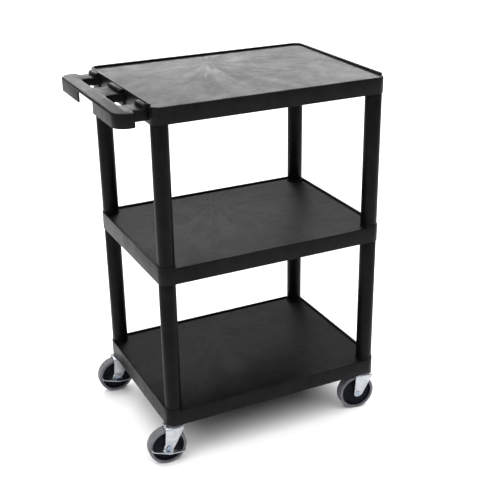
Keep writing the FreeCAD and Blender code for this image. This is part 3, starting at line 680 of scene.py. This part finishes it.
# %% [markdown]
# Where the two arms and the bar meet the shelf, the moulding swells up in rounded knuckles that
# reach almost to the top of the lip. Each is a small block whose upper outer edge is bevelled
# to a quarter round.

# %% Knuckles
def knuckle(name, y, half):
    begin(name, ADD_CUBE, size=(7.5 * MM, half, 5.5 * MM), at=(SIDE - 5 * MM, y, TOP + 4 * MM))
    choose("EDGE", lambda at, way: abs(way.y) > 0.9 and at.x < SIDE - 10 * MM
           and at.z > TOP + 5 * MM)
    bpy.ops.mesh.bevel(offset=7.5 * MM, segments=6, affect="EDGES")
    return soften(1.6 * MM, 3)


knuckles = [knuckle("bar_knuckle", 0, 39 * MM)]
knuckles += [knuckle(f"arm_knuckle_{side}", side * 167.5 * MM, 24 * MM) for side in (-1, 1)]

# %% Set the three shelves in place
shelf_middle = middle("bottom_shelf")
for name in ("bottom_shelf", "middle_shelf"):
    piece = copy_of(loading_shelf, name + "_moulding", (shelf_middle.x, 0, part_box(name)[0].z))
    settle(piece, "cart", "moulded_shelf", FOAM, name)
low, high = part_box("top_shelf")
top = join(copy_of(plain_shelf, "top_shelf_moulding"), handle, *thumb_ribs, *knuckles)
top.location = (shelf_middle.x, 0, high.z - SKIRT - LIP_HEIGHT)
bpy.ops.object.transform_apply(location=True, rotation=True, scale=True)
settle(top, "cart", "moulded_shelf", FOAM, "top_shelf")
for model in (plain_shelf, loading_shelf):
    bpy.data.objects.remove(model)
print("top shelf from", [round(v, 3) for v in low], "to", [round(v, 3) for v in high])

# %% [markdown]
# ## Leg tubes
# A leg is a plain tube whose ends are drawn in to spigots that push into the shelves. It is
# turned, so it starts as a cylinder: each end face is inset to the spigot, pulled out, and
# hollowed. One leg is modelled and copied eight times.

# %% Legs
LEG, SPIGOT, SPIGOT_WALL = 21 * MM, 16.5 * MM, 3 * MM
LOWER_SPIGOT, UPPER_SPIGOT = 17 * MM, 21 * MM
low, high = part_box("lower_leg_left_front")
shown_length = (high.z - UPPER_SPIGOT) - (low.z + LOWER_SPIGOT)
begin("leg", ADD_TUBE, vertices=72, radius=LEG, depth=shown_length, at=(0, 0, shown_length / 2))
for end, length in ((-1, LOWER_SPIGOT), (1, UPPER_SPIGOT)):
    choose("FACE", lambda at, way: way.z * end > 0.9)
    inset(LEG - SPIGOT)
    pull(0, 0, end * length)
    inset(SPIGOT_WALL)
    pull(0, 0, -end * length)
leg = soften(0.7 * MM)
for tier in ("lower", "upper"):
    for corner in CORNERS:
        node = f"{tier}_leg_{corner}"
        at, low = middle(node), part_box(node)[0]
        piece = copy_of(leg, node + "_tube", (at.x, at.y, low.z + LOWER_SPIGOT))
        settle(piece, "cart", "leg_tube", TUBE, node)
bpy.data.objects.remove(leg)

# %% [markdown]
# ## Swivel heads
# The swivel head is a pressed cup over the ring of balls, with a stem above it that goes into
# the shelf and a rivet below it that holds the fork on. It is one turned shape, made from a
# cylinder by insetting and pulling its two end faces, so the stem and rivet stay part of it.

# %% Swivel heads
stem_low, stem_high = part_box("caster_stem_left_front")
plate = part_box("bottom_shelf")[0].z
CUP, CUP_WALL, CUP_EDGE = 23 * MM, 1.6 * MM, 106.3 * MM
BALL_RACE, RIVET_HEAD = 107.5 * MM, 102.2 * MM
begin("swivel_head", ADD_TUBE, vertices=64, radius=CUP, depth=plate - CUP_EDGE,
      at=(0, 0, (plate + CUP_EDGE) / 2))
choose("FACE", lambda at, way: way.z < -0.9)
inset(CUP_WALL)
pull(0, 0, BALL_RACE - CUP_EDGE)
inset(16.4 * MM)
pull(0, 0, RIVET_HEAD - BALL_RACE)
pull(0, 0, 0)
bpy.ops.transform.resize(value=(1.6, 1.6, 1.0), center_override=(0, 0, RIVET_HEAD))
pull(0, 0, stem_low.z - RIVET_HEAD)
choose("FACE", lambda at, way: way.z > 0.9 and close_to(at.z, plate))
inset(17.5 * MM)
pull(0, 0, stem_high.z - plate)
choose("EDGE", lambda at, way: close_to(at.z, plate) and close_to(way.z, 0, 0.01)
       and at.xy.length > CUP - 1 * MM)
bpy.ops.mesh.bevel(offset=2.2 * MM, segments=4, affect="EDGES")
head = soften(0.4 * MM)
for corner in CORNERS:
    at = swivel_axis(corner)
    piece = copy_of(head, f"swivel_head_{corner}", (at.x, at.y, 0))
    settle(piece, "cart", "swivel_head", HEAD_PAINTED_SHADE, f"caster_stem_{corner}")
bpy.data.objects.remove(head)

# %% [markdown]
# ## Forks
# A fork is one strip of sheet metal bent into an arch. The sheet is modelled first without
# thickness: a block loses its ends and its underside, its two long top edges are bevelled into
# bends, the legs are cut to their raked outline, and the foot corners are rounded. Solidify
# then gives it the thickness of the sheet, inwards, so its outside stays where it was. A low
# ring on top of it is the race that the balls run in.

# %% Sheet of a fork
CROWN, FORK_HALF, SHEET = 105.5 * MM, 19.5 * MM, 3 * MM
BACK, FRONT, NOSE, SHOULDER = -28 * MM, 20 * MM, 22 * MM, CROWN - 5 * MM
AXLE, FOOT_RADIUS = Vector((-22 * MM, 0, 50 * MM)), 10.3 * MM
FOOT = AXLE.z - FOOT_RADIUS
begin("fork", ADD_CUBE, size=((FRONT - BACK) / 2, FORK_HALF, (CROWN - FOOT) / 2),
      at=((FRONT + BACK) / 2, 0, (CROWN + FOOT) / 2))
choose("FACE", lambda at, way: abs(way.x) > 0.9 or way.z < -0.9)
bpy.ops.mesh.delete(type="FACE")
choose("EDGE", lambda at, way: abs(way.x) > 0.9 and close_to(at.z, CROWN))
bpy.ops.mesh.bevel(offset=5 * MM, segments=5, affect="EDGES")
for corner_x, foot_x in ((FRONT, AXLE.x + FOOT_RADIUS), (BACK, AXLE.x - FOOT_RADIUS)):
    choose("VERT", lambda at, way: close_to(at.z, FOOT) and close_to(at.x, corner_x))
    bpy.ops.transform.translate(value=(foot_x - corner_x, 0, 0))
choose("FACE", lambda at, way: abs(way.y) > 0.9)
slice_at((0, 0, SHOULDER), (0, 0, 1))
choose("VERT", lambda at, way: close_to(at.z, SHOULDER) and at.x > 0)
mesh = bmesh.from_edit_mesh(bpy.context.object.data)
slide = FRONT - max(point.co.x for point in mesh.verts if point.select)
bpy.ops.transform.translate(value=(slide, 0, 0))
choose("VERT", lambda at, way: close_to(at.z, FOOT))
bpy.ops.mesh.bevel(offset=0.92 * FOOT_RADIUS, segments=8, affect="VERTICES")
choose("EDGE", lambda at, way: close_to(at.z, CROWN) and close_to(at.x, FRONT)
       and abs(way.y) > 0.9)
pull(NOSE - FRONT, 0, 0)
choose("VERT", lambda at, way: close_to(at.x, NOSE))
bpy.ops.mesh.bevel(offset=1.8 * MM, segments=4, affect="VERTICES")
bpy.ops.object.mode_set(mode="OBJECT")
print("fork sheet:", len(bpy.context.object.data.polygons), "faces")

# %% Thickness of a fork, and its ball race
def thicken(piece, thickness, offset=-1.0):
    """Give a sheet its thickness, to the side its normals point away from."""
    sheet = piece.modifiers.new("sheet", "SOLIDIFY")
    sheet.thickness = thickness
    sheet.offset = offset
    sheet.use_even_offset = True
    bpy.ops.object.modifier_apply(modifier=sheet.name)


thicken(bpy.context.object, SHEET)
fork = soften(0.5 * MM, 2, 30)
RACE, RACE_WIDTH = 18 * MM, 4 * MM
begin("race", ADD_TUBE, vertices=48, radius=RACE, depth=0.8 * MM, at=(0, 0, CROWN + 0.2 * MM))
choose("FACE", lambda at, way: abs(way.z) > 0.9)
bpy.ops.mesh.inset(thickness=RACE_WIDTH, use_individual=True)
bpy.ops.mesh.delete(type="FACE")
choose("EDGE", lambda at, way: close_to(at.xy.length, RACE - RACE_WIDTH, 0.2 * MM))
bpy.ops.mesh.bridge_edge_loops()
fork = join(fork, soften(0.2 * MM, 1))
for corner in CORNERS:
    at = swivel_axis(corner)
    piece = copy_of(fork, f"fork_{corner}", (at.x, at.y, 0), swivel_angle(corner))
    settle(piece, f"fork_{corner}", "zinc_plate", ZINC, f"caster_fork_{corner}")
bpy.data.objects.remove(fork)

# %% [markdown]
# ## Wheels
# The hub is moulded with a rim, a dished web and a boss for the axle; the tyre is stretched
# over the rim. Both are turned about the axle, which lies along Y. The hub's two faces are
# inset and pushed in step by step. The tyre is a cylinder whose middle is cut out: the inset
# faces are deleted and the two loops bridged, which gives a clean ring.

# %% Hub and tyre
ALONG_Y = (math.pi / 2, 0, 0)
HUB_RADIUS, HUB_WIDTH, TYRE_RADIUS, TYRE_WIDTH = 42 * MM, 23 * MM, 50 * MM, 27 * MM


def from_axle(at):
    """How far a point lies from the axle."""
    return Vector((at.x, at.z)).length


begin("hub", ADD_TUBE, vertices=96, radius=HUB_RADIUS, depth=HUB_WIDTH, turn=ALONG_Y)
for end in (-1, 1):
    choose("FACE", lambda at, way: way.y * end > 0.9)
    inset(3.2 * MM)
    inset(1.0 * MM, -5.5 * MM)
    inset(3.0 * MM, -1.0 * MM)
    inset(20.0 * MM, 2.6 * MM)
    inset(2.0 * MM, 0.8 * MM)
    pull(0, end * 5.3 * MM, 0)
    inset(4.5 * MM, -0.8 * MM)
hub = soften(0.5 * MM, 2, 30)

begin("tyre", ADD_TUBE, vertices=96, radius=TYRE_RADIUS, depth=TYRE_WIDTH, turn=ALONG_Y)
choose("FACE", lambda at, way: abs(way.y) > 0.9)
bpy.ops.mesh.inset(thickness=TYRE_RADIUS - HUB_RADIUS, use_individual=True)
bpy.ops.mesh.delete(type="FACE")
choose("EDGE", lambda at, way: close_to(from_axle(at), HUB_RADIUS, 0.2 * MM) and abs(way.y) < 0.1)
bpy.ops.mesh.bridge_edge_loops()
choose("EDGE", lambda at, way: from_axle(at) > TYRE_RADIUS - 0.5 * MM and abs(way.y) < 0.1)
bpy.ops.mesh.bevel(offset=4.5 * MM, segments=6, affect="EDGES")
tyre = soften(0.5 * MM, 2, 30)
for corner in CORNERS:
    at, turn = middle("axle_sleeve_" + corner), swivel_angle(corner)
    for model, part, slot, finish, node in ((hub, "hub", "wheel_hub", HUB, "wheel_hub"),
                                            (tyre, "tyre_ring", "grey_tyre", RUBBER, "tyre")):
        piece = copy_of(model, f"{part}_{corner}", at, turn)
        settle(piece, f"wheel_{corner}", slot, finish, f"{node}_{corner}")
for model in (hub, tyre):
    bpy.data.objects.remove(model)

# %% [markdown]
# ## Axle bolts and nuts
# The bolt has a low domed head with a formed edge, and its end stands out of the nut. The nut
# is a six-sided cylinder whose corners are cut back by a chamfer, with the round collar of a
# locking nut. The braked casters need a longer bolt, because the pedal sits under its head.

# %% Bolts and nuts
BOLT_HEAD, BOLT_END = 3 * MM, 26 * MM


def bolt_model(name, seat):
    """A bolt along Y whose head sits at a place on the axle."""
    begin(name, ADD_TUBE, vertices=40, radius=6.5 * MM, depth=BOLT_HEAD, turn=ALONG_Y,
          at=(0, seat - BOLT_HEAD / 2, 0))
    choose("FACE", lambda at, way: way.y > 0.9)
    inset(2.5 * MM)
    pull(0, BOLT_END - seat, 0)
    inset(0.8 * MM)
    choose("FACE", lambda at, way: way.y < -0.9)
    bpy.ops.mesh.bevel(offset=1.6 * MM, segments=4, affect="EDGES")
    choose("FACE", lambda at, way: way.y < -0.9 and close_to(at.y, seat - BOLT_HEAD))
    inset(1.6 * MM)
    inset(0.8 * MM, -0.7 * MM)
    return soften(0.3 * MM, 2, 30)


plain_bolt = bolt_model("plain_bolt", -FORK_HALF)
brake_bolt = bolt_model("brake_bolt", -22.2 * MM)
begin("nut", ADD_TUBE, vertices=6, radius=13 / math.sqrt(3) * MM, depth=3.6 * MM, turn=ALONG_Y,
      at=(0, FORK_HALF + 1.8 * MM, 0))
choose("FACE", lambda at, way: way.y > 0.9)
bpy.ops.mesh.bevel(offset=0.9 * MM, segments=2, affect="EDGES")
nut = soften(0.25 * MM, 1, 30)
begin("collar", ADD_TUBE, vertices=32, radius=5.6 * MM, depth=2.0 * MM, turn=ALONG_Y,
      at=(0, FORK_HALF + 4.0 * MM, 0))
choose("FACE", lambda at, way: way.y > 0.9)
inset(1.2 * MM, -0.4 * MM)
nut = join(nut, soften(0.5 * MM, 3, 30))
for corner in CORNERS:
    at, turn = middle("axle_sleeve_" + corner), swivel_angle(corner)
    bolt = brake_bolt if corner in BRAKED else plain_bolt
    for model, part in ((bolt, "axle_bolt"), (nut, "axle_nut")):
        piece = copy_of(model, f"{part}_piece_{corner}", at, turn)
        settle(piece, f"fork_{corner}", "steel_fastener", FASTENER_PAINTED_SHADE, f"{part}_{corner}")
for model in (plain_bolt, brake_bolt, nut):
    bpy.data.objects.remove(model)

# %% [markdown]
# ## Brake pedals
# A pedal is a bent blank: a foot plate that is widest in the middle, a round tab that turns
# up beside the fork with the axle through it, and small upturned ends. The blank is a flat
# plane cut at its fold lines; the folds are edges pulled up, then bevelled, and Solidify adds
# the sheet's thickness. It stands tilted, with the brake off.

# %% Brake pedals
PLATE, FACE, PEDAL_SHEET, TAB = -7.5 * MM, -19.6 * MM, 2.5 * MM, 13 * MM
WING, WING_WIDTH, BELLY, TILT = 42.5 * MM, 5 * MM, 16 * MM, math.radians(11)
begin("pedal", ADD_PLANE, size=(WING, BELLY / 2, 1), at=(0, FACE - BELLY / 2, PLATE))
for x in (-TAB, 0, TAB):
    bpy.ops.mesh.select_all(action="SELECT")
    slice_at((x, 0, 0), (1, 0, 0))
for reach in (WING, TAB):
    choose("VERT", lambda at, way: close_to(abs(at.x), reach) and close_to(at.y, FACE - BELLY))
    bpy.ops.transform.translate(value=(0, (BELLY - WING_WIDTH) * reach / WING, 0))
choose("EDGE", lambda at, way: close_to(at.y, FACE) and abs(at.x) < TAB)
pull(0, 0, TAB - PLATE)
choose("EDGE", lambda at, way: close_to(abs(at.x), WING) and abs(way.y) > 0.5 and at.z < 0)
pull(0, 0, 4 * MM)
choose("VERT", lambda at, way: close_to(at.z, TAB) and close_to(abs(at.x), TAB))
bpy.ops.mesh.bevel(offset=0.9 * TAB, segments=8, affect="VERTICES")
choose("EDGE", lambda at, way: close_to(at.z, PLATE)
       and (close_to(abs(at.x), WING) or (close_to(at.y, FACE) and abs(at.x) < TAB)))
bpy.ops.mesh.bevel(offset=2.5 * MM, segments=4, affect="EDGES")
bpy.ops.mesh.select_all(action="SELECT")
bpy.ops.mesh.normals_make_consistent(inside=False)
bpy.ops.object.mode_set(mode="OBJECT")
pedal = bpy.context.object
up = sum(face.normal.z * face.area for face in pedal.data.polygons)
thicken(pedal, PEDAL_SHEET, -1.0 if up > 0 else 1.0)
bpy.ops.object.mode_set(mode="EDIT")
bpy.ops.mesh.select_all(action="SELECT")
bpy.ops.mesh.normals_make_consistent(inside=False)
pedal = soften(0.5 * MM, 2, 30)
pedal.rotation_euler = (0, TILT, 0)
bpy.ops.object.transform_apply(location=True, rotation=True, scale=True)
for corner in BRAKED:
    at, turn = middle("axle_sleeve_" + corner), swivel_angle(corner)
    piece = copy_of(pedal, f"pedal_{corner}", at, turn)
    settle(piece, f"pedal_{corner}", "zinc_plate", ZINC, f"brake_pedal_{corner}")
bpy.data.objects.remove(pedal)

# %% [markdown]
# ## Parts that stay as they are
# The sleeves, the ring of balls, the spacers on the axles and the brake shoes are small turned
# shapes that are nearly hidden, and their CAD shape is already right. They only need finishes.

# %% Finishes for the CAD nodes that stay
STAYING = {"stem_sleeve": SLEEVE, "bearing_balls": BALLS, "axle_sleeve": FASTENER_PAINTED_SHADE, "brake_shoe": ZINC}
for name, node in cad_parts.items():
    kind = name
    for corner in CORNERS:
        kind = kind.removesuffix("_" + corner)
    if kind in STAYING:
        node.data.materials.clear()
        node.data.materials.append(STAYING[kind])
    elif not node.hide_render:
        print("still bare:", name)

# %% [markdown]
# ## The size
# The box of what is shown is printed beside the box of the CAD model.

# %% Write both boxes and finish
shown_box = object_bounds()
for title, ends in (("CAD box  ", cad_box), ("shown box", shown_box)):
    print(title, [[round(v, 4) for v in end] for end in ends])
